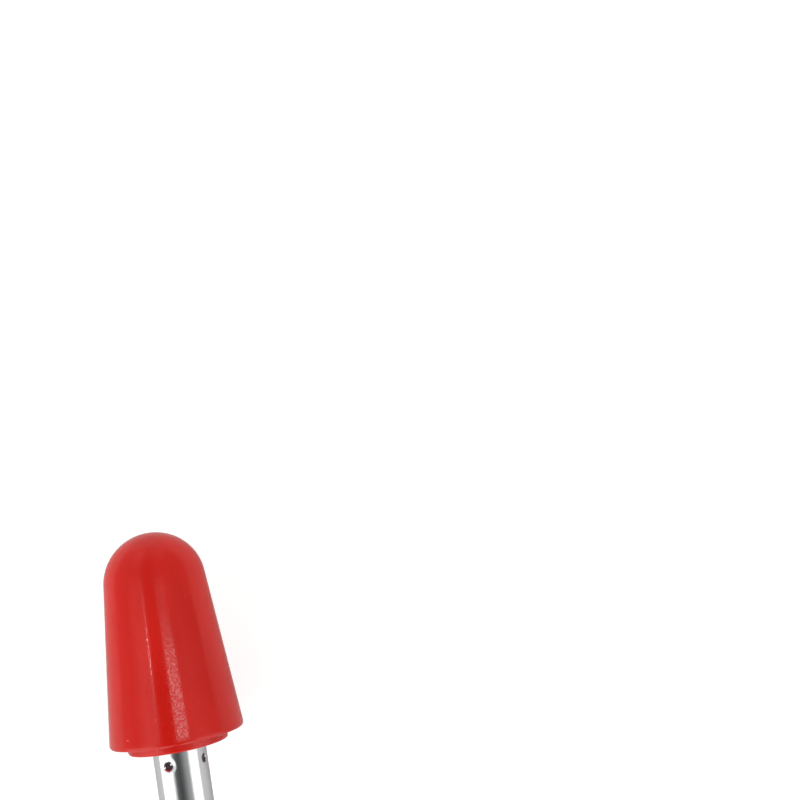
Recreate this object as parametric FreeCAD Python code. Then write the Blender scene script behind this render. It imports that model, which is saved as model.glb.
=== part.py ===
"""Telescopic white cane, pulled out to its full length and lying on its side on a floor.

Tubes of growing diameter slide into each other from the tip to the handle. The end of each inner tube carries
a twist lock: a stud, a slotted nylon sleeve and a brass cone nut that spreads the sleeve in the next bore.
The tip is a red shell that rolls on a ball bearing, in front of a fixed dust collar. The rubber grip has a
flat side, which keeps the cane from rolling and gives the index finger its place.

Millimetres. +Y points from the handle to the nose of the tip, +Z is up, and the floor is at Z = 0. The
origin is under the middle of the cane. Places along the cane are given as s, the distance back from the nose.
"""

import FreeCAD, Part

import math
import os

from FreeCAD import Vector

os.makedirs("parts", exist_ok=True)

# ---------------------------------------------------------------- driving dimensions
total_length = 1220.0
tube_count = 5
lower_tube_start = 26.0     # inside the dust collar
lower_tube_r = 4.5          # outside of the thinnest tube
tube_step = 0.9             # each tube is this much larger in radius than the one inside it
steel_wall = 0.5            # the lower tube is chromed steel
alloy_wall = 0.6            # the others are coated aluminium
first_mouth = 250.0         # nose to the mouth of the second tube
section_pitch = 225.0       # one tube mouth to the next
tube_overlap = 24.0         # how far a tube reaches past the next mouth when pulled out
handle_tube_end = 1198.0

tip_body_length = 34.9      # nose to the rim of the rolling shell
tip_lip = 1.5               # how far the fixed collar stands out of the shell
tip_nose_r = 8.65
tip_base_r = 11.3
tip_edge_r = 0.6            # rounding of the rim

running = 0.05              # radial clearance of a turning or sliding fit
axis_height = tip_base_r    # the rim and the flat of the grip both stand on the floor

punch_r = 1.0               # round-nosed punch that stakes a tube to the plug inside it
punch_offset = 0.35         # the punch's centre stands this far outside the tube
stake_angles = (-18.0, 72.0, 162.0, 252.0)
groove_half_width = 1.4     # groove in a plug that the staked dents sit in
groove_depth = 0.75
tip_stake = 38.9            # dents that hold the tip's shaft
stake_from_end = 5.5        # dents that hold a lock's plug or the end plug
stretch_half = 3.0          # half the length of a staked stretch of tube

AXIS = Vector(0, 1, 0)


# ---------------------------------------------------------------- helpers
def at(place):
    """The point at (s, r): s back from the nose, r above the axis."""
    s, r = place
    return Vector(0, total_length / 2 - s, axis_height + r)


def around(s, r, angle):
    """A point at s, r out from the axis, turned angle degrees round it from straight up towards +X."""
    turn = math.radians(angle)
    return Vector(r * math.sin(turn), total_length / 2 - s, axis_height + r * math.cos(turn))


def turned(start, *steps):
    """A solid turned about the cane's axis. A step is a corner (s, r), or a point on an arc and its end."""
    edges = []
    here = start
    for step in (*steps, start):
        if isinstance(step[0], tuple):
            middle, end = step
            edges.append(Part.Arc(at(here), at(middle), at(end)).toShape())
        else:
            end = step
            edges.append(Part.LineSegment(at(here), at(end)).toShape())
        here = end
    return Part.Face(Part.Wire(edges)).revolve(at((0, 0)), AXIS, 360)


def ring(s_from, s_to, outer_r, inner_r=0.0):
    """A plain ring or, with no inner radius, a plain disc or rod."""
    return turned((s_from, inner_r), (s_from, outer_r), (s_to, outer_r), (s_to, inner_r))


def cross_box(s_from, s_to, half_width, reach, angle):
    """A bar through the axis: it cuts two opposite slots, or makes two opposite keys."""
    box = Part.makeBox(2 * half_width, s_to - s_from, 2 * reach)
    box.translate(Vector(-half_width, total_length / 2 - s_to, axis_height - reach))
    box.rotate(at((0, 0)), AXIS, angle)
    return box


def ball(radius, centre):
    return Part.makeSphere(radius, centre)


def save(name, solid):
    """Writes one sub-part and refuses a broken one."""
    if not solid.isValid() or not solid.Solids:
        raise ValueError(f"{name} is not a valid solid")
    solid.exportStep(f"parts/{name}.step")
    print(f"{name}: {len(solid.Solids)} solid(s), {solid.Volume:.1f} mm3")


# ---------------------------------------------------------------- tubes
def outer_r(k):
    return lower_tube_r + tube_step * (k - 1)


def wall(k):
    return steel_wall if k == 1 else alloy_wall


def inner_r(k):
    return outer_r(k) - wall(k)


def mouth(k):
    """Where tube k begins, towards the tip."""
    return lower_tube_start if k == 1 else first_mouth + section_pitch * (k - 2)


def upper_end(k):
    """Where tube k ends, towards the handle."""
    return handle_tube_end if k == tube_count else mouth(k + 1) + tube_overlap


def staked_stretch(k, s):
    """A short stretch of tube k with dents at s. The wall stays as thick, so a dent stands proud inside."""
    stretch = ring(s - stretch_half, s + stretch_half, outer_r(k), inner_r(k))
    inside = ring(s - stretch_half, s + stretch_half, outer_r(k) - wall(k) / 2)
    for angle in stake_angles:
        centre = around(s, outer_r(k) + punch_offset, angle)
        lump = ball(punch_r + wall(k), centre).common(inside)
        stretch = stretch.fuse(lump).cut(ball(punch_r, centre))
    return stretch.removeSplitter()


def groove(s, bore):
    """The ring that is cut from a plug so that the dents find room."""
    return ring(s - groove_half_width, s + groove_half_width, bore + 1, bore - groove_depth)


def tube(k):
    """Tube k in plain and staked stretches. Their faces stay apart, so the long plain ones stay simple."""
    stakes = [tip_stake] if k == 1 else []
    stakes.append(upper_end(k) - stake_from_end)
    stretches = []
    here = mouth(k)
    for s in stakes:
        stretches.append(ring(here, s - stretch_half, outer_r(k), inner_r(k)))
        stretches.append(staked_stretch(k, s))
        here = s + stretch_half
    stretches.append(ring(here, upper_end(k), outer_r(k), inner_r(k)))
    return stretches[0].fuse(stretches[1:])


# ---------------------------------------------------------------- mouth collars
collar_front = 3.0          # the guide lip in front of the tube's end
collar_length = 14.0        # the sleeve pressed over the tube
collar_wall = 1.6


def mouth_collar(k):
    """Nylon collar on the mouth of tube k. Its lip guides the next thinner tube."""
    front = mouth(k) - collar_front
    back = mouth(k) + collar_length
    over = outer_r(k)
    guide = outer_r(k - 1) + running
    full = over + collar_wall
    return turned(
        (front, guide + 0.4),
        (front, over + 0.4),
        ((front + 0.35, full - 0.35), (front + 1.2, full)),
        (back - 2.5, full),
        (back, over + 0.5),
        (back, over),
        (mouth(k), over),
        (mouth(k), guide),
        (front + 0.4, guide),
    )


# ---------------------------------------------------------------- twist locks
plug_depth = 11.0           # the plug's length inside the tube
plug_flange = 1.0           # its shoulder against the tube's end
stud_r = 2.5                # M5 stud, drawn without its thread
stud_length = 20.0          # past the tube's end
sleeve_from = 1.5           # places below are measured from the tube's end
cone_from = 6.0
sleeve_to = 14.5
sleeve_bore = 2.7
sleeve_lip = 0.8            # the sleeve's wall at its open end
slot_from = 4.5
slot_half = 0.45
nut_from = 8.0
nut_to = 17.5
key_half = 0.35
key_from = 9.5
clip_from = 18.25
clip_thickness = 0.7
clip_groove_r = 2.0
clip_play = 0.03


def sleeve_r(k):
    return inner_r(k + 1) - running


def cone_r(k, place):
    """Radius of the sleeve's inner cone, at a place measured from the tube's end."""
    mouth_r = sleeve_r(k) - sleeve_lip
    return sleeve_bore + (mouth_r - sleeve_bore) * (place - cone_from) / (sleeve_to - cone_from)


def lock_plug(k):
    """Aluminium plug staked in the end of tube k, with the lock's stud."""
    end = upper_end(k)
    bore = inner_r(k)
    body = turned(
        (end - plug_depth, 0.0),
        (end - plug_depth, bore - 0.5),
        (end - plug_depth + 0.5, bore),
        (end, bore),
        (end, outer_r(k)),
        (end + plug_flange, outer_r(k)),
        (end + plug_flange, stud_r),
        (end + stud_length - 0.5, stud_r),
        (end + stud_length, stud_r - 0.5),
        (end + stud_length, 0.0),
    )
    clip_room = clip_thickness + clip_play
    clip_groove = ring(end + clip_from, end + clip_from + clip_room, stud_r + 1, clip_groove_r)
    return body.cut(groove(end - stake_from_end, bore)).cut(clip_groove)


def lock_sleeve(k):
    """Nylon sleeve with four fingers, which the cone nut spreads against the bore of the next tube."""
    end = upper_end(k)
    full = sleeve_r(k)
    body = turned(
        (end + sleeve_from, sleeve_bore),
        (end + sleeve_from, full - 0.4),
        (end + sleeve_from + 0.4, full),
        (end + sleeve_to, full),
        (end + sleeve_to, full - sleeve_lip),
        (end + cone_from, sleeve_bore),
    )
    for angle in (0, 90):
        body = body.cut(cross_box(end + slot_from, end + sleeve_to + 1, slot_half, full + 1, angle))
    return body


def lock_nut(k):
    """Brass cone nut on the stud. Two keys in the sleeve's slots keep it from turning with the stud."""
    end = upper_end(k)
    gap = running
    small = cone_r(k, nut_from) - gap
    large = cone_r(k, sleeve_to) - gap
    body = turned(
        (end + nut_from, stud_r + running),
        (end + nut_from, small),
        (end + sleeve_to, large),
        (end + nut_to, large),
        (end + nut_to, stud_r + running),
    )
    key_reach = sleeve_r(k) - 0.4
    keys = cross_box(end + key_from, end + nut_to, key_half, key_reach, 0)
    keys = keys.cut(ring(end + key_from - 1, end + nut_to + 1, stud_r + running))
    keys = keys.common(ring(end + key_from - 1, end + nut_to + 1, key_reach))
    return body.fuse(keys).removeSplitter()


def snap_ring(s, hold_r, full_r, thickness):
    """An open ring that snaps into a groove of a shaft."""
    body = ring(s, s + thickness, full_r, hold_r + clip_play)
    opening = Part.makeBox(2 * hold_r * 0.8, thickness + 2, full_r + 1)
    opening.translate(Vector(-hold_r * 0.8, total_length / 2 - s - thickness - 1, axis_height))
    return body.cut(opening)


def lock_clip(k):
    """Steel ring that stops the nut before it leaves the stud."""
    return snap_ring(upper_end(k) + clip_from + clip_play / 2, clip_groove_r, 3.6, clip_thickness)


# ---------------------------------------------------------------- rolling tip
journal_r = 3.0             # the shaft inside the ball bearing
bearing_from = 13.0
bearing_to = 18.0
bearing_r = 7.5
inner_race_r = 4.55
outer_race_r = 5.95
ball_path_r = 5.25
ball_r = 1.15
ball_play = 0.02            # between a ball and its grooves
ball_count = 8
bearing_middle = (bearing_from + bearing_to) / 2
race_step = 0.4             # the collar's nose touches only the inner race
collar_r = 7.5              # the part of the dust collar inside the shell
collar_step = 31.0          # where the collar widens to its visible lip
shell_gap = 0.1             # round the collar, inside the shell
lip_r = 8.45
lip_play = 0.15
tip_length = tip_body_length + tip_lip
shaft_shoulder = 24.5       # where the shaft widens to the tube's diameter
shaft_end = 44.0            # the shaft's length inside the lower tube
screw_room_from = 8.5       # the hollow in front of the bearing
screw_room_r = 6.2
screw_r = 1.5               # M3
screw_core_r = 1.24         # inside the shaft, where the threads engage
screw_head_from = 10.1
washer_from = 12.2
screw_end = 21.0


def tip_shell():
    """Red nylon shell: a round nose, a straight taper, a rounded rim and a stepped hollow for the bearing."""
    edge_s = tip_body_length - tip_edge_r
    edge_r = tip_base_r - tip_edge_r
    # the straight flank touches the nose's circle and the rim's circle
    between = math.hypot(edge_s - tip_nose_r, edge_r)
    taper = math.atan2(edge_r, edge_s - tip_nose_r) - math.asin((tip_nose_r - tip_edge_r) / between)
    half_turn = math.sqrt(0.5)
    lip_bore = lip_r + lip_play
    inside_r = collar_r + shell_gap
    return turned(
        (0.0, 0.0),
        (
            (tip_nose_r * (1 - half_turn), tip_nose_r * half_turn),
            (tip_nose_r * (1 - math.sin(taper)), tip_nose_r * math.cos(taper)),
        ),
        (edge_s - tip_edge_r * math.sin(taper), edge_r + tip_edge_r * math.cos(taper)),
        (
            (edge_s + tip_edge_r * half_turn, edge_r + tip_edge_r * half_turn),
            (tip_body_length, edge_r),
        ),
        (tip_body_length, lip_bore),
        (collar_step, lip_bore),
        (collar_step, inside_r),
        (bearing_to, inside_r),
        (bearing_to, bearing_r),
        (bearing_from, bearing_r),
        (bearing_from, screw_room_r),
        (screw_room_from + 2.0, screw_room_r - 1.2),
        (screw_room_from, screw_room_r - 2.2),
        (screw_room_from, 0.0),
    )


def tip_dust_collar():
    """Red nylon collar fixed on the tube. Its lip shows in the shell's mouth and keeps grit out."""
    edge = 0.4
    return turned(
        (bearing_to, journal_r + running),
        (bearing_to, inner_race_r - race_step),
        (bearing_to + 2, inner_race_r - race_step),
        (bearing_to + 2, collar_r),
        (collar_step + 0.3, collar_r),
        (collar_step + 0.3, lip_r),
        (tip_length - edge, lip_r),
        ((tip_length - 0.29 * edge, lip_r - 0.29 * edge), (tip_length, lip_r - edge)),
        (tip_length, lower_tube_r),
        (shaft_shoulder, lower_tube_r),
        (shaft_shoulder, journal_r + running),
    )


def tip_shaft():
    """Aluminium shaft: staked in the lower tube at one end, the bearing's journal at the other."""
    bore = inner_r(1)
    body = turned(
        (bearing_from, screw_core_r + 0.01),
        (bearing_from, journal_r),
        (shaft_shoulder, journal_r),
        (shaft_shoulder, lower_tube_r),
        (lower_tube_start, lower_tube_r),
        (lower_tube_start, bore),
        (shaft_end - 0.5, bore),
        (shaft_end, bore - 0.5),
        (shaft_end, 0.0),
        (screw_end + 2.0, 0.0),
        (screw_end + 1.3, screw_core_r + 0.01),
    )
    return body.cut(groove(tip_stake, bore))


def race(r_in, r_out):
    """One ring of the ball bearing, with its running groove."""
    body = ring(bearing_from, bearing_to, r_out, r_in)
    path = Part.makeTorus(ball_path_r, ball_r + ball_play, at((bearing_middle, 0)), AXIS)
    return body.cut(path)


def ball_centres():
    return [around(bearing_middle, ball_path_r, 360.0 * n / ball_count) for n in range(ball_count)]


def bearing_balls():
    return Part.Compound([ball(ball_r, centre) for centre in ball_centres()])


def bearing_cage():
    """Ring with one round pocket for each ball."""
    body = ring(bearing_middle - 1.7, bearing_middle + 1.7, ball_path_r + 0.4, ball_path_r - 0.4)
    middle = at((bearing_middle, 0))
    for centre in ball_centres():
        body = body.cut(Part.makeCylinder(ball_r + running, 8.0, middle, centre - middle))
    return body


def tip_washer():
    return ring(washer_from, bearing_from, 4.2, screw_r + 0.1)


def tip_screw():
    """M3 screw with a low head and a hexagon socket. It clamps the bearing and the collar to the shaft."""
    head_r = 2.75
    body = turned(
        (screw_head_from, 0.0),
        (screw_head_from, head_r - 0.55),
        (screw_head_from + 0.5, head_r),
        (washer_from, head_r),
        (washer_from, screw_r),
        (bearing_from, screw_r),
        (bearing_from, screw_core_r),
        (screw_end, screw_core_r),
        (screw_end, 0.0),
    )
    corners = [around(screw_head_from, 1.15, 60.0 * n) for n in range(7)]
    socket = Part.Face(Part.makePolygon(corners)).extrude(Vector(0, -1.1, 0))
    return body.cut(socket)


# ---------------------------------------------------------------- handle
ferrule_from = mouth(tube_count) + collar_length
ferrule_r = 10.0
ferrule_edge = 0.8
grip_from = 946.0
grip_front_r = 12.2
grip_back_r = 12.9
grip_end_round = 2.4
plug_from = 1182.0
plug_to = 1200.0
plug_chamfer = 0.5
cap_to = 1205.0
cap_r = 10.4
cap_round = 2.4
shank_r = 2.0
shank_gap = 0.1             # round the shank, in the cap and the washer
shank_end = 1178.5
washer_to = 1205.8
eye_from = washer_to + running
eye_base_r = 4.6
eye_centre = 1214.5
eye_half_thickness = 2.5
eye_hole_r = 2.5
neck_half_width = 3.6
clip_groove_from = 1180.0   # the swivel clip's groove near the end of the shank
swivel_clip_r = 1.5


def grip_ferrule():
    """Chromed ring between the collar and the grip."""
    return turned(
        (ferrule_from, outer_r(tube_count)),
        (ferrule_from, ferrule_r - ferrule_edge),
        (
            (ferrule_from + 0.29 * ferrule_edge, ferrule_r - 0.29 * ferrule_edge),
            (ferrule_from + ferrule_edge, ferrule_r),
        ),
        (grip_from, ferrule_r),
        (grip_from, outer_r(tube_count)),
    )


def grip():
    """Rubber grip, a little thicker towards its end. The floor plane cuts its flat side."""
    end = handle_tube_end
    tube_r = outer_r(tube_count)
    body = turned(
        (grip_from, tube_r),
        (grip_from, ferrule_r + 0.2),
        ((grip_from + 3.2, grip_front_r - 0.6), (grip_from + 9.0, grip_front_r)),
        (end - grip_end_round, grip_back_r),
        (
            (end - 0.29 * grip_end_round, grip_back_r - 0.29 * grip_end_round),
            (end, grip_back_r - grip_end_round),
        ),
        (end, tube_r),
    )
    under = Part.makeBox(60, total_length, 30, Vector(-30, -total_length / 2, -30))
    return body.cut(under)


def end_plug():
    """Aluminium plug staked in the handle's end. The lanyard swivel turns in its bore."""
    bore = inner_r(tube_count)
    body = turned(
        (plug_from, shank_r + running),
        (plug_from, bore - plug_chamfer),
        (plug_from + plug_chamfer, bore),
        (handle_tube_end, bore),
        (handle_tube_end, outer_r(tube_count)),
        (plug_to, outer_r(tube_count)),
        (plug_to, shank_r + running),
    )
    return body.cut(groove(handle_tube_end - stake_from_end, bore))


def butt_cap():
    """Black cap that closes the end of the grip."""
    return turned(
        (handle_tube_end, outer_r(tube_count)),
        (handle_tube_end, cap_r),
        (cap_to - cap_round, cap_r),
        ((cap_to - 0.29 * cap_round, cap_r - 0.29 * cap_round), (cap_to, cap_r - cap_round)),
        (cap_to, shank_r + shank_gap),
        (plug_to, shank_r + shank_gap),
        (plug_to, outer_r(tube_count)),
    )


def swivel_washer():
    return ring(cap_to, washer_to, eye_base_r + 0.4, shank_r + shank_gap)


def lanyard_eye():
    """Steel eye for a wrist loop. Its shank runs through the cap and the end plug, so it swivels."""
    shank = ring(shank_end, eye_from, shank_r)
    shank = shank.cut(ring(clip_groove_from, clip_groove_from + 0.8, shank_r + 1, swivel_clip_r))
    base = turned(
        (eye_from, 0.0),
        (eye_from, eye_base_r),
        (eye_from + 1.6, eye_base_r),
        ((eye_from + 2.3, eye_base_r - 0.3), (eye_from + 2.6, eye_base_r - 1.0)),
        (eye_from + 2.6, 0.0),
    )
    eye_r = total_length - eye_centre
    side = Vector(-eye_half_thickness, total_length / 2 - eye_centre, axis_height)
    tab = Part.makeCylinder(eye_r, 2 * eye_half_thickness, side, Vector(1, 0, 0))
    neck = Part.makeBox(2 * eye_half_thickness, eye_centre - eye_from - 1.5, 2 * neck_half_width)
    neck.translate(side - Vector(0, 0, neck_half_width))
    hole = Part.makeCylinder(eye_hole_r, 20, side - Vector(5, 0, 0), Vector(1, 0, 0))
    return shank.fuse([base, tab, neck]).cut(hole).removeSplitter()


def swivel_clip():
    return snap_ring(clip_groove_from + 0.05, swivel_clip_r, 3.4, 0.7)


# ---------------------------------------------------------------- write every sub-part
tube_names = ("lower_tube", "second_tube", "third_tube", "fourth_tube", "handle_tube")
for number, name in enumerate(tube_names, start=1):
    save(name, tube(number))

for number in range(2, tube_count + 1):
    save(f"mouth_collar_{number - 1}", mouth_collar(number))

for number in range(1, tube_count):
    save(f"lock_plug_{number}", lock_plug(number))
    save(f"lock_sleeve_{number}", lock_sleeve(number))
    save(f"lock_nut_{number}", lock_nut(number))
    save(f"lock_clip_{number}", lock_clip(number))

save("tip_shell", tip_shell())
save("tip_dust_collar", tip_dust_collar())
save("tip_shaft", tip_shaft())
save("bearing_inner_race", race(journal_r, inner_race_r))
save("bearing_outer_race", race(outer_race_r, bearing_r))
save("bearing_balls", bearing_balls())
save("bearing_cage", bearing_cage())
save("tip_washer", tip_washer())
save("tip_screw", tip_screw())

save("grip_ferrule", grip_ferrule())
save("grip", grip())
save("end_plug", end_plug())
save("butt_cap", butt_cap())
save("swivel_washer", swivel_washer())
save("lanyard_eye", lanyard_eye())
save("swivel_clip", swivel_clip())
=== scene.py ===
import math

import bmesh
import bpy
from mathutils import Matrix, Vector


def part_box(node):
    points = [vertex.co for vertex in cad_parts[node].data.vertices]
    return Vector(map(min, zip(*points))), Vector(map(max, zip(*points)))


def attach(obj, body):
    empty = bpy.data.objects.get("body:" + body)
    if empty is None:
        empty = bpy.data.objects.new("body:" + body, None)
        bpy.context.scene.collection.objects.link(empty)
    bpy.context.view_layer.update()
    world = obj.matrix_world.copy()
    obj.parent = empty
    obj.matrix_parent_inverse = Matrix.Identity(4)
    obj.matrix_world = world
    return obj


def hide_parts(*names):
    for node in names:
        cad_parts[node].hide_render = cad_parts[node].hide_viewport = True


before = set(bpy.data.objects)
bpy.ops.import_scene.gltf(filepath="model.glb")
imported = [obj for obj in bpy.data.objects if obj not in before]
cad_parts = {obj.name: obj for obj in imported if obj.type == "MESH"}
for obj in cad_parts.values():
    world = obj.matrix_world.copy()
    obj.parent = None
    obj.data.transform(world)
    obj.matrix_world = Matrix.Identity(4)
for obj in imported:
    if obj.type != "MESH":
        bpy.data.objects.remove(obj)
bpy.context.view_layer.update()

# ---------------------------------------------------------------- the rolling tip's shell
# A nylon shell, injection moulded in signal red, that turns on a ball bearing. It has a round nose, a
# straight taper and a rounded rim, a fine eroded skin, and more scuffs from the pavement near the rim.

# The cane lies on its side along Y, nose at +Y, on a floor at z = 0. Places on it are s, back from the nose,
# and r, out from the axis, both in millimetres.
MM = 0.001
nose_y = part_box("tip_shell")[1].y / MM
axis_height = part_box("tip_shell")[1].z / MM / 2       # the shell's rim stands on the floor


def span(node):
    """Where a CAD node starts and ends along the cane, and its largest radius, in mm."""
    low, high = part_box(node)
    ends = nose_y - high.y / MM, nose_y - low.y / MM, high.z / MM - axis_height
    return tuple(round(value, 2) for value in ends)


def around(s, r, angle):
    """A point of the frame, in metres: s back from the nose, r out, angle from straight up towards +X."""
    return Vector((r * math.sin(angle), nose_y - s, axis_height + r * math.cos(angle))) * MM


shell_from, shell_to, shell_r = span("tip_shell")
shell_nose_r = 8.65
rim_round = 0.6
RED = ("#BF1A12", "#C91F17", "#EE8A7E")               # shaded flow marks, body, scuffed


def arc(s, r, radius, start, end, steps):
    """Points of an arc about (s, r). Angles are in degrees, from straight out towards the handle."""
    turns = [math.radians(start + (end - start) * n / steps) for n in range(steps + 1)]
    return [(s + radius * math.sin(turn), r + radius * math.cos(turn)) for turn in turns]


def run(start, end, steps):
    """Points of a straight stretch after its start, its end included."""
    return [tuple(a + (b - a) * n / steps for a, b in zip(start, end)) for n in range(1, steps + 1)]


def turned(name, outline, turns, bend=None):
    """A closed mesh: the outline runs once round the wall and is turned about the cane's axis."""
    points, rows, faces = [], [], []
    for s, r in outline:
        if r < 1e-6:
            rows.append([len(points)] * turns)
            points.append(around(s, 0, 0))
            continue
        rows.append(range(len(points), len(points) + turns))
        for n in range(turns):
            angle = 2 * math.pi * n / turns
            points.append(around(s, bend(s, r, angle) if bend else r, angle))
    for here, there in zip(rows, rows[1:] + rows[:1]):
        for n in range(turns):
            m = (n + 1) % turns
            corners = tuple(dict.fromkeys((here[n], here[m], there[m], there[n])))
            if len(corners) > 2:
                faces.append(corners)
    mesh = bpy.data.meshes.new(name)
    mesh.from_pydata(points, [], faces)
    return made_object(name, mesh)


def smooth(mesh, degrees):
    """Smooth shading, with sharp edges where the surface turns by more than this."""
    mesh.shade_smooth()
    mesh.set_sharp_from_angle(angle=math.radians(degrees))


def made_object(name, mesh):
    """An object of a closed mesh, with its faces turned outwards."""
    work = bmesh.new()
    work.from_mesh(mesh)
    bmesh.ops.recalc_face_normals(work, faces=work.faces)
    work.to_mesh(mesh)
    work.free()
    smooth(mesh, 35)
    piece = bpy.data.objects.new(name, mesh)
    bpy.context.scene.collection.objects.link(piece)
    return piece


def linear(code):
    """An sRGB hex colour as linear RGBA."""
    parts = [int(code[n:n + 2], 16) / 255 for n in (1, 3, 5)]
    return [c / 12.92 if c <= 0.04045 else ((c + 0.055) / 1.055) ** 2.4 for c in parts] + [1.0]


def node(tree, kind, inputs=None, **settings):
    """Adds a node. An input is a value, or a socket to link it to."""
    made = tree.nodes.new(kind)
    for key, value in settings.items():
        setattr(made, key, value)
    for key, value in (inputs or {}).items():
        if isinstance(value, bpy.types.NodeSocket):
            tree.links.new(value, made.inputs[key])
        else:
            made.inputs[key].default_value = value
    return made


def new_material(name, **sockets):
    """A material, its Principled shader with these sockets set, and the piece's coordinates in mm."""
    material = bpy.data.materials.new(name)
    material.use_nodes = True
    tree = material.node_tree
    shader = tree.nodes["Principled BSDF"]
    for key, value in sockets.items():
        shader.inputs[key.replace("_", " ")].default_value = value
    place = node(tree, "ShaderNodeTexCoord").outputs["Object"]
    in_mm = node(tree, "ShaderNodeVectorMath", {0: place, 3: 1000.0}, operation="SCALE").outputs[0]
    return material, tree, shader, in_mm


def noise(tree, place, size, detail=2.0, stretch=(1, 1, 1)):
    """Noise from 0 to 1 with features of this size in mm, longer by stretch along X, Y and Z."""
    scaled = node(tree, "ShaderNodeMapping", {0: place, "Scale": [1 / size / k for k in stretch]})
    inputs = {"Vector": scaled.outputs[0], "Scale": 1.0, "Detail": detail}
    return node(tree, "ShaderNodeTexNoise", inputs).outputs[0]


def between(tree, value, low, high, out_low=0.0, out_high=1.0):
    """The value's run from low to high, turned into the run from out_low to out_high and clamped."""
    inputs = {"Value": value, 1: low, 2: high, 3: out_low, 4: out_high}
    return node(tree, "ShaderNodeMapRange", inputs, interpolation_type="SMOOTHSTEP").outputs[0]


def blend(tree, share, first, second):
    """Mixes two colours. Each is a hex code or a socket."""
    first, second = (linear(c) if isinstance(c, str) else c for c in (first, second))
    return node(tree, "ShaderNodeMix", {0: share, 6: first, 7: second}, data_type="RGBA").outputs[2]


def maths(tree, operation, *values):
    """A sum, product or other function of values and sockets."""
    return node(tree, "ShaderNodeMath", dict(enumerate(values)), operation=operation).outputs[0]


def bumped(tree, shader, *layers):
    """Bump from layers of (height socket, depth in mm)."""
    normal = None
    for height, depth in layers:
        inputs = {"Height": height, "Distance": depth * MM, "Strength": 1.0}
        if normal:
            inputs["Normal"] = normal
        normal = node(tree, "ShaderNodeBump", inputs).outputs[0]
    tree.links.new(normal, shader.inputs["Normal"])


def red_nylon():
    """Moulded nylon 6: glossy, a little see-through at its skin, with a fine eroded grain and pale scuffs.
    The grain is duller in its pits, which breaks a lamp's mirror image in the skin into sparkle."""
    material, tree, shader, place = new_material(
        "red_nylon", IOR=1.4, Subsurface_Weight=0.06, Subsurface_Scale=0.6 * MM
    )
    shader.inputs["Subsurface Radius"].default_value = (1.0, 0.12, 0.08)
    flow = between(tree, noise(tree, place, 7.0, stretch=(1, 3, 1)), 0.35, 0.7)
    grain = noise(tree, place, 0.34, 0.5)
    scratch = noise(tree, place, 0.22, 2.0, stretch=(1, 9, 1))
    across = noise(tree, place, 0.25, 2.0, stretch=(7, 1, 3))
    along = node(tree, "ShaderNodeSeparateXYZ", {0: place}).outputs[1]
    near_rim = between(tree, along, nose_y - shell_to, nose_y - shell_to + 10, 0.10, 0.0)
    worn = between(tree, maths(tree, "ADD", noise(tree, place, 2.6, 4.0), near_rim), 0.56, 0.72)
    marks = maths(tree, "MAXIMUM", between(tree, scratch, 0.69, 0.77), between(tree, across, 0.71, 0.79))
    scuffs = maths(tree, "MULTIPLY", marks, between(tree, worn, 0.0, 1.0, 0.03, 1.0))
    body = blend(tree, flow, RED[0], RED[1])
    colour = blend(tree, maths(tree, "MULTIPLY", scuffs, 0.5), body, RED[2])
    tree.links.new(colour, shader.inputs["Base Color"])
    grain_rough = between(tree, grain, 0.42, 0.60, 0.21, 0.07)
    rough = maths(tree, "ADD", grain_rough, maths(tree, "MULTIPLY", worn, 0.05))
    tree.links.new(rough, shader.inputs["Roughness"])
    tree.links.new(between(tree, grain, 0.47, 0.60, 0.46, 0.66), shader.inputs["Specular IOR Level"])
    bumped(tree, shader, (grain, 0.005), (scuffs, -0.010))
    return material


red = red_nylon()
rim_s, rim_r = shell_to - rim_round, shell_r - rim_round
# The taper just touches the nose's ball and the rim's rounding, at this angle from straight out.
flank = math.degrees(
    math.atan2(rim_r, rim_s - shell_nose_r)
    - math.asin((shell_nose_r - rim_round) / math.hypot(rim_s - shell_nose_r, rim_r))
)
shell_nose = arc(shell_nose_r, 0, shell_nose_r, -90, -flank, 40)
shell_rim = arc(rim_s, rim_r, rim_round, -flank, 90, 12)
mouth_r = 8.6                                         # clear of the dust collar's lip
mouth_floor = 31.0
mouth_round = 0.3
seat_from, seat_to, seat_r = span("bearing_outer_race")
passage_r = seat_r + 0.1                              # lets the bearing in
screw_room = [(seat_from, 6.2), (10.5, 5.0), (8.5, 4.0), (8.5, 0.0)]
shell = turned(
    "rolling_tip_shell",
    [(shell_from, 0.0), *shell_nose[1:], *run(shell_nose[-1], shell_rim[0], 40), *shell_rim[1:]]
    + arc(shell_to - mouth_round, mouth_r + mouth_round, mouth_round, 90, 180, 5)
    + [(mouth_floor, mouth_r), (mouth_floor, passage_r), (seat_to, passage_r), (seat_to, seat_r)]
    + [(seat_from, seat_r), *screw_room],
    144,
)


def fit(piece, body, slot, material, *nodes):
    """Gives a piece its material, and says what it rides on and which CAD nodes it stands for. The slot, its
    finish, is not used.
    """
    piece.data.materials.clear()
    piece.data.materials.append(material)
    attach(piece, body)
    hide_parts(*nodes)


fit(shell, "rolling_tip", "red_nylon", red, "tip_shell")

# ---------------------------------------------------------------- the dust collar
# A second red nylon moulding, pushed on the tube and clamped behind the bearing. Only its lip shows, in the
# shell's mouth: a low ring with a soft, slightly uneven edge where it was trimmed.
collar_from, collar_to, lip_r = span("tip_dust_collar")
tube_r = span("lower_tube")[2]
bore_r, tube_stop = 3.05, 24.5                        # fits the shaft up to the stop, then the tube
boss_r, boss_to = 4.15, 20.0                          # bears on the bearing's inner race
drum_r, drum_to = 7.5, 31.3
lip_start = (drum_to, lip_r - 0.05)
lip_length = 2.5
lip_round, bore_round = 0.45, 0.25


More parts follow.
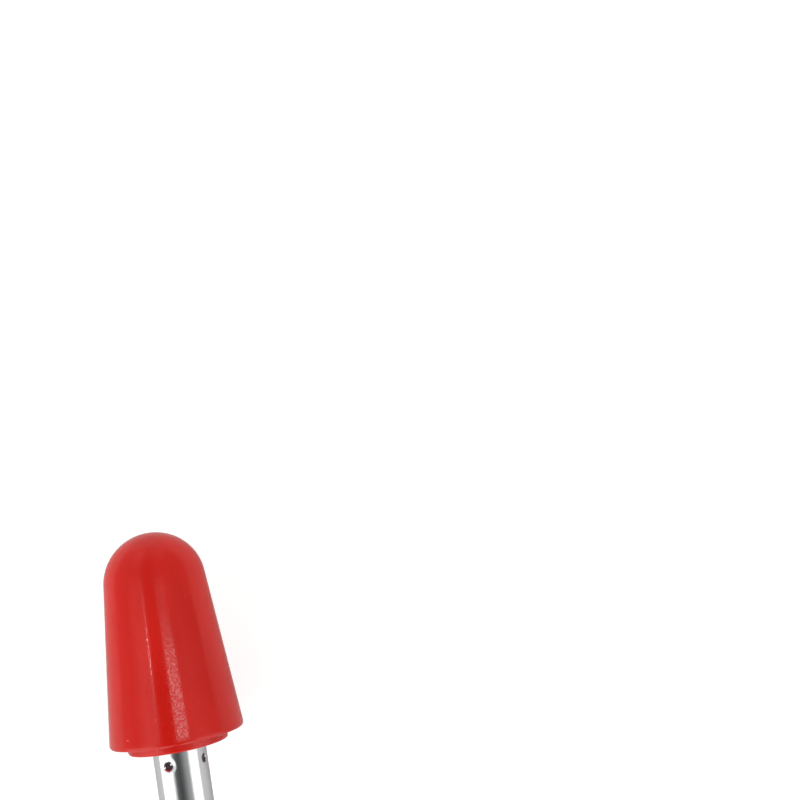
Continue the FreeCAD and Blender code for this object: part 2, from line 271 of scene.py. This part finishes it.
def trimmed(s, r, angle):
    """The lip's edge wanders by a few hundredths of a millimetre."""
    if s < collar_to - lip_length or r < 6:          # only the lip's outside wanders
        return r
    return r + 0.035 * math.sin(5 * angle + 1) + 0.02 * math.sin(17 * angle) + 0.012 * math.sin(41 * angle)


lip_edge = arc(collar_to - lip_round, lip_r - 0.5, lip_round, 0, 90, 7)
lip_in = arc(collar_to - bore_round, tube_r + 0.3, bore_round, 90, 180, 4)
dust_collar = turned(
    "dust_collar",
    [(collar_from, bore_r), (collar_from, boss_r), (boss_to, boss_r), (boss_to, drum_r), (drum_to, drum_r)]
    + [lip_start, *run(lip_start, lip_edge[0], 8), *lip_edge[1:]]
    + [*run(lip_edge[-1], lip_in[0], 8), *lip_in[1:]]
    + [(tube_stop, tube_r + 0.01), (tube_stop, bore_r)],
    144,
    trimmed,
)
fit(dust_collar, "lower_section", "red_nylon", red, "tip_dust_collar")

# ---------------------------------------------------------------- the lower tube
# Steel tube, polished and chromed, so it mirrors all round it in long bands. Four dents from a round-nosed
# punch hold the tip's shaft, and four more at the far end hold the first lock's plug.
steel_wall = 0.5
stake_turns = [math.radians(angle) for angle in (-18, 72, 162, 252)]
tip_stake = 38.9
stake_from_end = 5.5
CHROME = ("#E6E7EA", "#D5D6DA", "#5B4C51")            # bright, hazed, darker at the bottom of the dents
dish_r, dish_depth = 1.65, 0.15                       # the wall's shallow sink round the punch's pit
pit_r, pit_depth = 0.84, 0.36
# How far in from the tube's outside the dents' darker, rougher bottoms start.
dent_dark_depth = 0.165
lean_across, lean_ahead = 0.8, 0.6                    # the way that the punch leaned, as a unit vector
level_share = 0.12                                    # of the dish's depth, on the side away from the lean
burr_across, burr_ahead = 0.42, 0.26                  # the burr's middle, from the pit's
burr_edge = 0.19


def dent(across, ahead):
    """How far the dish and the pit sink the wall, this far from a dent's middle, round the tube and noseward.
    The punch leaned, so the dish is deeper on one side, and a burr almost fills the pit there."""
    away = math.hypot(across, ahead)
    if away >= dish_r:
        return 0, 0
    slope = min(1, (dish_r - away) / (dish_r - 0.5 * pit_r))
    towards = max(0, lean_across * across + lean_ahead * ahead) / max(away, 0.01)
    lean = level_share + (1 - level_share) * towards
    burr = min(1, max(0, 1.9 - math.hypot(across - burr_across, ahead - burr_ahead) / burr_edge))
    pit = max(0, 1 - (away / pit_r) ** 2) ** 0.7 * (1 - 0.9 * burr)
    return lean * dish_depth * slope * slope * (3 - 2 * slope), pit_depth * pit


def dented(stakes, wall_r):
    """The bend of a tube's wall with a ring of punched dents at each of these places."""

    def bend(s, r, angle):
        for stake in stakes:
            if abs(s - stake) > dish_r:
                continue
            for turn in stake_turns:
                aside = (angle - turn + math.pi) % (2 * math.pi) - math.pi
                dish, pit = dent(aside * wall_r, stake - s)
                r = r - dish - pit
        return r

    return bend


def tube_outline(start, end, r_out, r_in, stakes, step):
    """Round a tube's wall: out along the outside, back along the bore, with close rings by the dents."""
    reach = round(2 / step)
    near = [stake + step * n for stake in stakes for n in range(-reach, reach + 1)]
    plain = [start + (end - start) * n / 24 for n in range(1, 24)]
    clear = [s for s in plain if min(abs(s - n) for n in near) > 2.5]
    places = sorted({round(s, 3) for s in near + clear})
    edge = 0.12
    outside = [(start, r_out - edge), (start + edge, r_out)] + [(s, r_out) for s in places]
    bore = [(s, r_in) for s in reversed(places)] + [(start, r_in)]
    return outside + [(end - edge, r_out), (end, r_out - edge), (end, r_in)] + bore


def chromed_steel(name, dark_below_r=None):
    """Nickel and chrome plate: a mirror with a slight orange peel, and hairlines along the cane. Below
    the radius given, at the bottom of a punched dent, its colour turns darker and its surface rougher."""
    material, tree, shader, place = new_material(name, Metallic=1.0)
    peel = noise(tree, place, 0.55, 2.0)
    lines = noise(tree, place, 0.07, 3.0, stretch=(1, 160, 1))
    haze = noise(tree, place, 5.0, 3.0, stretch=(1, 4, 1))
    colour = blend(tree, between(tree, haze, 0.4, 0.75), *CHROME[:2])
    rough = between(tree, lines, 0.45, 0.8, 0.045, 0.12)
    if dark_below_r:
        parts = node(tree, "ShaderNodeSeparateXYZ", {0: place}).outputs
        up = maths(tree, "SUBTRACT", parts[2], axis_height)
        out = node(tree, "ShaderNodeCombineXYZ", {0: parts[0], 1: up}).outputs[0]
        r = node(tree, "ShaderNodeVectorMath", {0: out}, operation="LENGTH").outputs["Value"]
        # Below this radius, at the bottom of each dent, the colour turns darker and the surface rougher.
        dent_dark = between(tree, r, dark_below_r - 0.04, dark_below_r, 1.0, 0.0)
        colour = blend(tree, dent_dark, colour, CHROME[2])
        rough = maths(tree, "ADD", rough, maths(tree, "MULTIPLY", dent_dark, 0.3))
    tree.links.new(colour, shader.inputs["Base Color"])
    tree.links.new(rough, shader.inputs["Roughness"])
    bumped(tree, shader, (peel, 0.006), (lines, 0.0006))
    return material


chrome = chromed_steel("chromed_steel")
start, end, tube_r = span("lower_tube")
punched_chrome = chromed_steel("punched_chrome", tube_r - dent_dark_depth)
stakes = [tip_stake, end - stake_from_end]
outline = tube_outline(start, end, tube_r, tube_r - steel_wall, stakes, 0.1)
lower_tube = turned("lower_tube_chromed", outline, 240, dented(stakes, tube_r))
fit(lower_tube, "lower_section", "chromed_steel", punched_chrome, "lower_tube")

# ---------------------------------------------------------------- the white tubes
# Four aluminium tubes, each 1.8 mm larger than the one that slides in it, in white powder coat. The coat has
# a faint orange peel and fine grey rub marks along it, where the collars slide.
white_wall = 0.6
WHITE = ("#E6E5E0", "#DAD9D2", "#9F9E99")             # coat, thin places, rubbed


def powder_coat():
    """Polyester powder coat: satin, slightly wavy, with grey hairlines where a collar has rubbed it."""
    material, tree, shader, place = new_material("white_powder_coat", IOR=1.5, Coat_Weight=0.15)
    peel = noise(tree, place, 0.9, 2.0)
    patch = noise(tree, place, 14.0, 3.0, stretch=(1, 3, 1))
    hair = noise(tree, place, 0.12, 3.0, stretch=(1, 220, 1))
    rubbed = maths(tree, "MULTIPLY", between(tree, hair, 0.62, 0.72), between(tree, patch, 0.45, 0.7))
    coat = blend(tree, patch, WHITE[0], WHITE[1])
    colour = blend(tree, maths(tree, "MULTIPLY", rubbed, 0.55), coat, WHITE[2])
    tree.links.new(colour, shader.inputs["Base Color"])
    tree.links.new(between(tree, patch, 0.3, 0.8, 0.28, 0.42), shader.inputs["Roughness"])
    bumped(tree, shader, (peel, 0.012), (rubbed, -0.003))
    return material


white = powder_coat()
white_tubes = {
    "second_tube": "second_section",
    "third_tube": "third_section",
    "fourth_tube": "fourth_section",
    "handle_tube": "handle",
}
for name, body in white_tubes.items():
    start, end, tube_r = span(name)
    stakes = [end - stake_from_end]
    outline = tube_outline(start, end, tube_r, tube_r - white_wall, stakes, 0.25)
    coated = turned(f"{name}_coated", outline, 144, dented(stakes, tube_r))
    fit(coated, body, "white_tube", white, name)

# ---------------------------------------------------------------- the mouth collars
# Black nylon collars, moulded and pressed on the mouth of each white tube. They guide the next tube, and
# lengthwise grooves round them give the fingers a hold when a lock is twisted.
BLACK = ("#0F1012", "#191A1C", "#424346")             # nylon, its sheen, rubbed edges


def black_nylon():
    """Glass-filled black nylon: a satin eroded skin that is a little greyer where it has been handled."""
    material, tree, shader, place = new_material("black_nylon", IOR=1.53)
    grain = noise(tree, place, 0.22, 3.0)
    patch = noise(tree, place, 3.0, 4.0)
    hair = between(tree, noise(tree, place, 0.15, 2.0, stretch=(6, 2, 1)), 0.68, 0.76)
    colour = blend(tree, patch, BLACK[0], BLACK[1])
    colour = blend(tree, maths(tree, "MULTIPLY", hair, 0.4), colour, BLACK[2])
    tree.links.new(colour, shader.inputs["Base Color"])
    tree.links.new(between(tree, grain, 0.3, 0.7, 0.36, 0.52), shader.inputs["Roughness"])
    bumped(tree, shader, (grain, 0.02), (hair, -0.004))
    return material


def field_tree(name, sizes):
    """A Geometry Nodes tree with these named sizes, and its input and output nodes."""
    tree = bpy.data.node_groups.new(name, "GeometryNodeTree")
    tree.interface.new_socket("Geometry", in_out="INPUT", socket_type="NodeSocketGeometry")
    tree.interface.new_socket("Geometry", in_out="OUTPUT", socket_type="NodeSocketGeometry")
    for size in sizes:
        tree.interface.new_socket(size, in_out="INPUT", socket_type="NodeSocketFloat")
    tree.interface.new_socket("Material", in_out="INPUT", socket_type="NodeSocketMaterial")
    return tree, node(tree, "NodeGroupInput"), node(tree, "NodeGroupOutput")


def on_cane(tree):
    """Fields of a point of the cane, in mm and radians: s, r, the turn from straight up, and the way out."""
    place = node(tree, "GeometryNodeInputPosition").outputs[0]
    mm = node(tree, "ShaderNodeVectorMath", {0: place, 3: 1000.0}, operation="SCALE").outputs[0]
    parts = node(tree, "ShaderNodeSeparateXYZ", {0: mm}).outputs
    up = maths(tree, "SUBTRACT", parts[2], axis_height)
    aside = node(tree, "ShaderNodeCombineXYZ", {0: parts[0], 2: up}).outputs[0]
    r = node(tree, "ShaderNodeVectorMath", {0: aside}, operation="LENGTH").outputs["Value"]
    out = node(tree, "ShaderNodeVectorMath", {0: aside}, operation="NORMALIZE").outputs[0]
    s = maths(tree, "SUBTRACT", nose_y, parts[1])
    return s, r, maths(tree, "ARCTAN2", parts[0], up), out


def window(tree, value, start, end, soft):
    """1 from start to end, and 0 outside them by soft."""
    rise = between(tree, value, maths(tree, "SUBTRACT", start, soft), start)
    fall = between(tree, value, end, maths(tree, "ADD", end, soft), 1.0, 0.0)
    return maths(tree, "MULTIPLY", rise, fall)


def sink(tree, given, made, share, depth, out):
    """Ends a tree: moves each point in by share of depth (mm), realizes instances and sets the material."""
    inward = maths(tree, "MULTIPLY", maths(tree, "MULTIPLY", share, depth), -MM)
    offset = node(tree, "ShaderNodeVectorMath", {0: out, 3: inward}, operation="SCALE").outputs[0]
    moved = node(tree, "GeometryNodeSetPosition", {"Geometry": given.outputs[0], "Offset": offset})
    whole = node(tree, "GeometryNodeRealizeInstances", {"Geometry": moved.outputs[0]})
    inputs = {"Geometry": whole.outputs[0], "Material": given.outputs["Material"]}
    finished = node(tree, "GeometryNodeSetMaterial", inputs)
    tree.links.new(finished.outputs[0], made.inputs[0])


def finger_grooves():
    """Lengthwise grooves round a collar, cut into its outside only."""
    sizes = ("Grooves", "Depth", "From", "To", "Outside")
    tree, given, made = field_tree("finger_grooves", sizes)
    get = given.outputs
    s, r, turn, out = on_cane(tree)
    wave = maths(tree, "COSINE", maths(tree, "MULTIPLY", turn, get["Grooves"]))
    groove = between(tree, wave, 0.1, 0.9)
    along = window(tree, s, get["From"], get["To"], 0.9)
    outside = between(tree, r, maths(tree, "SUBTRACT", get["Outside"], 0.5), get["Outside"])
    share = maths(tree, "MULTIPLY", maths(tree, "MULTIPLY", groove, along), outside)
    sink(tree, given, made, share, get["Depth"], out)
    return tree


def shaped(piece, tree, material, **sizes):
    """Runs a Geometry Nodes tree on a piece and leaves a plain mesh."""
    modifier = piece.modifiers.new(tree.name, "NODES")
    modifier.node_group = tree
    for item in tree.interface.items_tree:
        if item.in_out == "INPUT" and item.name in sizes:
            modifier[item.identifier] = float(sizes[item.name])
        if item.in_out == "INPUT" and item.name == "Material":
            modifier[item.identifier] = material
    evaluated = piece.evaluated_get(bpy.context.evaluated_depsgraph_get())
    mesh = bpy.data.meshes.new_from_object(evaluated)
    piece.modifiers.clear()
    piece.data = mesh
    smooth(mesh, 50)
    return piece


black = black_nylon()
grooves = finger_grooves()
front_round, back_round = 1.1, 0.9
for number, body in enumerate(white_tubes.values(), start=1):
    start, end, full = span(f"mouth_collar_{number}")
    mouth = start + 3.0
    over = full - 1.6                                 # the tube's outside, inside the collar
    guide = over - 0.85                               # the lip runs on the thinner tube
    front = arc(start + front_round, full - front_round, front_round, -90, 0, 8)
    back = arc(end - back_round, full - back_round, back_round, 0, 90, 6)
    outline = (
        [(mouth, over), (mouth, guide), (start + 0.5, guide), (start, guide + 0.4)]
        + front
        + run(front[-1], back[0], 34)
        + back[1:]
        + [(end, over)]
    )
    piece = turned(f"twist_collar_{number}", outline, 240)
    shaped(piece, grooves, black, Grooves=20, Depth=0.38, From=start + 3.2, To=end - 3.0, Outside=full)
    fit(piece, body, "black_nylon", black, f"mouth_collar_{number}")

# ---------------------------------------------------------------- the grip's ferrule
# A turned brass ring, chromed like the lower tube, that closes the joint between the last collar and the
# grip. Two fine grooves are turned in it.
start, end, full = span("grip_ferrule")
handle_tube_r = span("handle_tube")[2]
ferrule_round = 0.8
rounded = arc(start + ferrule_round, full - ferrule_round, ferrule_round, -90, 0, 6)
ferrule_grooves = []
for middle in (start + 2.6, start + 4.4):
    cut = arc(middle, full + 0.05, 0.3, -100, -260, 6)
    ferrule_grooves += [(middle - 0.35, full), *cut, (middle + 0.35, full)]
outline = [(start, handle_tube_r), *rounded, *ferrule_grooves, (end - 0.15, full), (end, full - 0.15)]
ferrule = turned("grip_ferrule_chromed", outline + [(end, handle_tube_r)], 144)
fit(ferrule, "handle", "chromed_steel", chrome, "grip_ferrule")

# ---------------------------------------------------------------- the grip
# Black rubber, moulded on the handle tube, a little thicker towards the hand's heel. Its flat side is on the
# floor here and under the index finger in use. A diamond pattern fills the middle, with ribs at the ends.
RUBBER = ("#0C0C0C", "#161615", "#31302D")            # rubber, bloom, dust
grip_from, grip_to, grip_r = span("grip")
grip_front_r = 12.2
grip_round = 2.4
flat_round = 0.5


def flattened(s, r, angle):
    """The floor plane cuts the grip's flat side, with a softly rounded edge."""
    down = -math.cos(angle)
    if down < 0.5 or r < 9:                           # the upper side and the bore stay round
        return r
    reach = axis_height / down
    over = max(0.0, flat_round - abs(r - reach)) / flat_round
    return min(r, reach) - over * over * flat_round / 4


def grip_rubber():
    """Matt moulded rubber: black with a grey bloom, a fine skin, and patches of dust."""
    material, tree, shader, place = new_material("grip_rubber", IOR=1.52, Specular_IOR_Level=0.4)
    skin = noise(tree, place, 0.3, 4.0)
    bloom = noise(tree, place, 9.0, 4.0, stretch=(1, 2, 1))
    dust = between(tree, noise(tree, place, 1.6, 4.0), 0.6, 0.78)
    colour = blend(tree, bloom, RUBBER[0], RUBBER[1])
    colour = blend(tree, maths(tree, "MULTIPLY", dust, 0.3), colour, RUBBER[2])
    tree.links.new(colour, shader.inputs["Base Color"])
    tree.links.new(between(tree, bloom, 0.3, 0.8, 0.55, 0.72), shader.inputs["Roughness"])
    bumped(tree, shader, (skin, 0.03))
    return material


def hand_pattern():
    """Sunk lines of a diamond pattern in the middle of the grip, and sunk rings between ribs at its ends."""
    sizes = ("Depth", "Diamonds From", "Diamonds To", "Diamond Length", "Diamonds Round", "Rib Pitch",
             "Ribs From", "Ribs To", "Outside")
    tree, given, made = field_tree("hand_pattern", sizes)
    get = given.outputs
    s, r, turn, out = on_cane(tree)
    steps = maths(tree, "DIVIDE", s, get["Diamond Length"])
    rounds = maths(tree, "MULTIPLY", turn, maths(tree, "DIVIDE", get["Diamonds Round"], 2 * math.pi))
    lines = []
    for way in ("ADD", "SUBTRACT"):
        slope = maths(tree, "MULTIPLY", maths(tree, way, steps, rounds), math.pi)
        lines.append(between(tree, maths(tree, "ABSOLUTE", maths(tree, "SINE", slope)), 0.12, 0.5, 1.0, 0.0))
    diamonds = maths(tree, "MAXIMUM", *lines)
    middle = window(tree, s, get["Diamonds From"], get["Diamonds To"], 0.8)
    wave = maths(tree, "MULTIPLY", maths(tree, "DIVIDE", s, get["Rib Pitch"]), 2 * math.pi)
    rings = between(tree, maths(tree, "COSINE", wave), 0.0, 0.8)
    ribbed = window(tree, s, get["Ribs From"], get["Ribs To"], 0.8)
    before = maths(tree, "SUBTRACT", get["Diamonds From"], 3.0)
    after = maths(tree, "ADD", get["Diamonds To"], 3.0)
    clear = maths(tree, "SUBTRACT", 1.0, window(tree, s, before, after, 0.8))
    ends = maths(tree, "MULTIPLY", maths(tree, "MULTIPLY", rings, ribbed), clear)
    pattern = maths(tree, "MAXIMUM", maths(tree, "MULTIPLY", diamonds, middle), ends)
    skin = get["Outside"]
    outside = between(tree, r, maths(tree, "SUBTRACT", skin, 1.2), maths(tree, "SUBTRACT", skin, 0.9))
    off_flat = between(tree, maths(tree, "ABSOLUTE", turn), 2.35, 2.6, 1.0, 0.0)
    share = maths(tree, "MULTIPLY", maths(tree, "MULTIPLY", pattern, outside), off_flat)
    sink(tree, given, made, share, get["Depth"], out)
    return tree


rubber = grip_rubber()
shoulder_length, shoulder_round = 9.0, 9.2
shoulder = [(grip_from, grip_front_r - 2.0)]
shoulder += arc(grip_from + shoulder_length, grip_front_r - shoulder_round, shoulder_round, -51, 0, 14)
heel = arc(grip_to - grip_round, grip_r - grip_round, grip_round, 0, 90, 10)
outline = [(grip_from, handle_tube_r), *shoulder, *run(shoulder[-1], heel[0], 420), *heel[1:]]
grip = turned("rubber_grip", outline + [(grip_to, handle_tube_r)], 160, flattened)
shaped(
    grip, hand_pattern(), rubber,
    **{"Depth": 0.45, "Diamonds From": grip_from + 40, "Diamonds To": grip_to - 34, "Diamond Length": 6.0,
       "Diamonds Round": 14, "Rib Pitch": 3.0, "Ribs From": grip_from + 13, "Ribs To": grip_to - 8,
       "Outside": grip_front_r},
)
fit(grip, "handle", "grip_rubber", rubber, "grip")

# ---------------------------------------------------------------- the butt cap and its washer
# A moulded black nylon cap closes the tube's end, with a shallow ring groove in its face. A natural nylon
# washer lets the lanyard eye turn on it.
start, end, full = span("butt_cap")
cap_round = 2.4
shank_hole_r = 2.1
inner_face = span("end_plug")[1]
cap_edge = arc(end - cap_round, full - cap_round, cap_round, 0, 90, 12)
ring_groove = arc(end, 6.9, 0.35, 0, -180, 6)
outline = [(start, handle_tube_r), (start, full - 0.2), (start + 0.2, full)]
outline += run((start + 0.2, full), cap_edge[0], 6) + cap_edge[1:]
outline += [(end, 7.3), *ring_groove, (end, 6.4), (end, shank_hole_r + 0.15), (end - 0.15, shank_hole_r)]
outline += [(inner_face, shank_hole_r), (inner_face, handle_tube_r)]
cap = turned("butt_cap_moulded", outline, 144)
fit(cap, "handle", "black_nylon", black, "butt_cap")

NATURAL = ("#E4DFD0", "#D2CBB8")                      # nylon, its cloudier places


def natural_nylon():
    """Undyed nylon: ivory, waxy and a little see-through."""
    material, tree, shader, place = new_material(
        "natural_nylon", IOR=1.53, Subsurface_Weight=0.25, Subsurface_Scale=0.8 * MM
    )
    cloud = noise(tree, place, 4.0, 3.0)
    tree.links.new(blend(tree, cloud, NATURAL[0], NATURAL[1]), shader.inputs["Base Color"])
    tree.links.new(between(tree, cloud, 0.3, 0.7, 0.35, 0.5), shader.inputs["Roughness"])
    bumped(tree, shader, (noise(tree, place, 0.3, 2.0), 0.01))
    return material


natural = natural_nylon()
start, end, full = span("swivel_washer")
washer_edge = arc(start + 0.2, full - 0.2, 0.2, -90, 0, 4) + arc(end - 0.2, full - 0.2, 0.2, 0, 90, 4)
outline = [(start, shank_hole_r), *washer_edge, (end, shank_hole_r)]
washer = turned("swivel_washer_nylon", outline, 96)
fit(washer, "handle", "natural_nylon", natural, "swivel_washer")

# ---------------------------------------------------------------- the lanyard eye
# Drop-forged steel, chromed: a round eye on a neck that flows into a collar, and a shank through the cap and
# the end plug, so that it swivels. A wrist loop's cord goes through its 5 mm hole.
eye_from, eye_to, eye_r = span("lanyard_eye")
eye_s = eye_to - eye_r
hole_r = 2.5
half_thick = 2.5
seat = span("swivel_washer")[1] + 0.05


def eye_ring():
    """The eye: an oval section swept round the hole."""
    turns, sides = 64, 28
    middle, half = (eye_r + hole_r) / 2, (eye_r - hole_r) / 2
    points, faces = [], []
    for n in range(turns):
        sweep = 2 * math.pi * n / turns
        for m in range(sides):
            side = 2 * math.pi * m / sides
            reach = middle + half * math.cos(side) * abs(math.cos(side)) ** -0.25
            across = half_thick * math.sin(side) * max(abs(math.sin(side)), 1e-3) ** -0.35
            up, back = reach * math.cos(sweep), reach * math.sin(sweep)
            points.append(Vector((across, nose_y - eye_s - back, axis_height + up)) * MM)
            n2, m2 = (n + 1) % turns, (m + 1) % sides
            faces.append((n * sides + m, n2 * sides + m, n2 * sides + m2, n * sides + m2))
    mesh = bpy.data.meshes.new("eye_ring")
    mesh.from_pydata(points, [], faces)
    return made_object("eye_ring", mesh)


shank_r = 2.0
clip_from, clip_to, clip_r = 1180.0, 1180.8, 1.5      # the groove of the swivel's clip
shank = [(eye_from, 0.0), (eye_from, shank_r - 0.3), (eye_from + 0.3, shank_r), (clip_from, shank_r)]
shank += [(clip_from, clip_r), (clip_to, clip_r), (clip_to, shank_r), (seat, shank_r)]
base = arc(seat + 0.4, 4.2, 0.4, -90, 0, 4) + arc(seat + 1.2, 4.2, 0.4, 0, 90, 4)
neck = [(seat + 2.2, 3.3), (seat + 3.2, 2.6), (eye_s - hole_r - 0.8, 2.35), (eye_s - hole_r - 0.6, 0.0)]
eye = turned("lanyard_eye_forged", shank + base + neck, 64)
ring = eye_ring()
# The ring is joined to the neck, and the two are forged into one soft skin.
join = eye.modifiers.new("join", "BOOLEAN")
join.operation, join.object, join.solver = "UNION", ring, "EXACT"
forge = eye.modifiers.new("forge", "REMESH")
forge.mode, forge.voxel_size = "VOXEL", 0.22 * MM
soften = eye.modifiers.new("soften", "SMOOTH")
soften.factor, soften.iterations = 0.5, 4
forged = bpy.data.meshes.new_from_object(eye.evaluated_get(bpy.context.evaluated_depsgraph_get()))
eye.modifiers.clear()
eye.data = forged
forged.shade_smooth()
bpy.data.objects.remove(ring)
fit(eye, "lanyard_swivel", "chromed_steel", chrome, "lanyard_eye")

# ---------------------------------------------------------------- the works inside
# What the covers hide keeps its drawn shape: the tip's shaft, bearing, screw and washer, the four twist
# locks and the end plug. Each gets the finish that it has on the bench.


def turned_metal(name, tones, low, high):
    """A turned metal: fine rings round the cane from the tool, 0.12 mm apart, and a slight stain."""
    material, tree, shader, place = new_material(name, Metallic=1.0)
    rings = noise(tree, place, 0.12, 2.0, stretch=(60, 1, 60))
    stain = noise(tree, place, 2.5, 3.0)
    tree.links.new(blend(tree, stain, *tones), shader.inputs["Base Color"])
    tree.links.new(between(tree, rings, 0.3, 0.7, low, high), shader.inputs["Roughness"])
    bumped(tree, shader, (rings, 0.003))
    return material


aluminium = turned_metal("turned_aluminium", ("#D4D6D8", "#BFC1C4"), 0.18, 0.38)
brass = turned_metal("lock_brass", ("#D3AE5C", "#B98F45"), 0.16, 0.34)
bright_steel = turned_metal("bearing_steel", ("#B9BBBF", "#A2A5AA"), 0.10, 0.24)
finishes = {
    aluminium: ["tip_shaft", "end_plug"] + [f"lock_plug_{n}" for n in range(1, 5)],
    brass: [f"lock_nut_{n}" for n in range(1, 5)],
    natural: ["bearing_cage"] + [f"lock_sleeve_{n}" for n in range(1, 5)],
    bright_steel: ["bearing_inner_race", "bearing_outer_race", "bearing_balls", "tip_washer", "tip_screw",
                   "swivel_clip"] + [f"lock_clip_{n}" for n in range(1, 5)],
}
for material, names in finishes.items():
    for name in names:
        for cad_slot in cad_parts[name].material_slots:
            cad_slot.material = material

# ---------------------------------------------------------------- floor, light and camera
# A plain white floor under soft light. The sky is dim straight overhead and bright to both sides, as between
# two large soft boxes, which draws the long bands on the chrome. Two small lamps give the shell its streaks.
PAPER = ("#CFCFCE", "#CCCCCB")
floor_glow = 0.64
reach = 30                                            # metres, so that no edge shows
floor_mesh = bpy.data.meshes.new("floor")
corners = [(-reach, -reach, 0), (reach, -reach, 0), (reach, reach, 0), (-reach, reach, 0)]
floor_mesh.from_pydata(corners, [], [(0, 1, 2, 3)])
floor = bpy.data.objects.new("floor", floor_mesh)
bpy.context.scene.collection.objects.link(floor)
paper, tree, shader, place = new_material("floor_paper", Roughness=0.9)
shader.inputs["Specular IOR Level"].default_value = 0.1
tone = blend(tree, noise(tree, place, 40.0, 3.0), *PAPER)
tree.links.new(tone, shader.inputs["Base Color"])
# A glow that only the camera sees lifts the floor to white without lighting the cane from below.
shader.inputs["Emission Color"].default_value = (1, 1, 0.995, 1)
seen = node(tree, "ShaderNodeLightPath").outputs["Is Camera Ray"]
tree.links.new(maths(tree, "MULTIPLY", seen, floor_glow), shader.inputs["Emission Strength"])
floor_mesh.materials.append(paper)

world = bpy.data.worlds.new("studio")
bpy.context.scene.world = world
world.use_nodes = True
tree = world.node_tree
way = node(tree, "ShaderNodeTexCoord").outputs["Generated"]
parts = node(tree, "ShaderNodeSeparateXYZ", {0: way}).outputs
# A direction's tilt from overhead towards +X: -180 to 180 degrees, turned into 0 to 1.
tilt = maths(tree, "DIVIDE", maths(tree, "ARCTAN2", parts[0], parts[2]), math.pi)
tilt = maths(tree, "ADD", maths(tree, "MULTIPLY", tilt, 0.5), 0.5)


def sky(*levels):
    """The sky's brightness, by degrees from overhead towards +X."""
    bands = node(tree, "ShaderNodeValToRGB", {0: tilt})
    ramp = bands.color_ramp
    while len(ramp.elements) < len(levels):
        ramp.elements.new(0.5)
    for element, (degrees, level) in zip(ramp.elements, levels):
        element.position = degrees / 360 + 0.5
        element.color = (level, level, level * 0.985, 1)
    return bands.outputs[0]


# Three skies, by which way a direction points along the cane: handleward, straight up from it, and noseward.
over_handle = sky(
    (-110, 0.8), (-95, 1.5), (-36, 1.5), (-30, 1.0), (-26, 0.55), (-20, 0.18), (-12, 0.11), (-1, 0.08),
    (11, 0.14), (24, 0.30), (37, 0.42), (42, 0.6), (48, 1.35), (92, 1.3), (106, 0.7),
)
over_nose = sky(
    (-110, 0.40), (-74, 0.40), (-59, 0.36), (-50, 0.55), (-42, 0.8), (-33, 0.95), (-24, 0.9), (-20, 0.8),
    (-16, 0.03), (7, 0.03), (11, 0.95), (25, 0.95), (31, 0.45), (47, 0.6), (72, 0.4), (101, 0.25),
)
over_tip = sky((-60, 0.45), (-24, 0.5), (-16, 0.2), (7, 0.2), (12, 0.33), (60, 0.33))
beyond = between(tree, parts[1], 0.11, 0.19)
over_front = blend(tree, beyond, over_nose, over_tip)
forward = between(tree, parts[1], -0.13, -0.05)
above = blend(tree, forward, over_handle, over_front)
# The camera sees plain white behind the cane, whatever the cane mirrors.
seen = node(tree, "ShaderNodeLightPath").outputs["Is Camera Ray"]
glow = node(tree, "ShaderNodeMix", {0: seen, 6: above, 7: (1, 1, 1, 1)}, data_type="RGBA")
background = tree.nodes["Background"]
tree.links.new(glow.outputs[2], background.inputs["Color"])
background.inputs["Strength"].default_value = 1.0


def soft_box(name, place, aim, width, length, radiance, mirrored=True):
    """An area lamp that no camera sees. Its power follows from the brightness of its face. Its width lies
    level, and its length in the upright plane of its aim."""
    data = bpy.data.lights.new(name, "AREA")
    data.shape, data.size, data.size_y = "RECTANGLE", width, length
    data.energy = radiance * width * length * math.pi
    lamp = bpy.data.objects.new(name, data)
    lamp.location = place
    lamp.rotation_euler = (Vector(aim) - Vector(place)).to_track_quat("-Z", "Y").to_euler()
    lamp.visible_camera = False
    lamp.visible_glossy = mirrored
    bpy.context.scene.collection.objects.link(lamp)


tip_y = nose_y * MM
streak_y, thin_y = tip_y + 0.067, tip_y + 0.122
soft_box("left_box", (-1.5, 0.0, 0.75), (0, 0, 0), 0.8, 2.8, 3.7, mirrored=False)
soft_box("right_box", (1.5, 0.0, 0.85), (0, 0, 0), 0.8, 2.8, 2.0, mirrored=False)
soft_box("front_box", (0, 2.0, 0.4), (0, tip_y, 0), 1.6, 0.6, 3.9, mirrored=False)
soft_box("streak_lamp", (0.365, streak_y, 1.0), (0, streak_y, 0), 0.12, 0.38, 2.8)
soft_box("thin_lamp", (-0.35, thin_y, 1.0), (0, thin_y, 0), 0.06, 0.012, 32.0)

camera_data = bpy.data.cameras.new("camera")
camera_data.sensor_width = 36.0
camera_data.lens = 56.25
camera_data.clip_start = 0.01
camera = bpy.data.objects.new("camera", camera_data)
camera.location = Vector((43.2, nose_y - 5.4, axis_height + 216.6)) * MM
camera.rotation_euler = (math.radians(5.58), 0, math.radians(-9.5))    # nearly straight down
bpy.context.scene.collection.objects.link(camera)
bpy.context.scene.camera = camera
bpy.context.scene.view_settings.view_transform = "Standard"
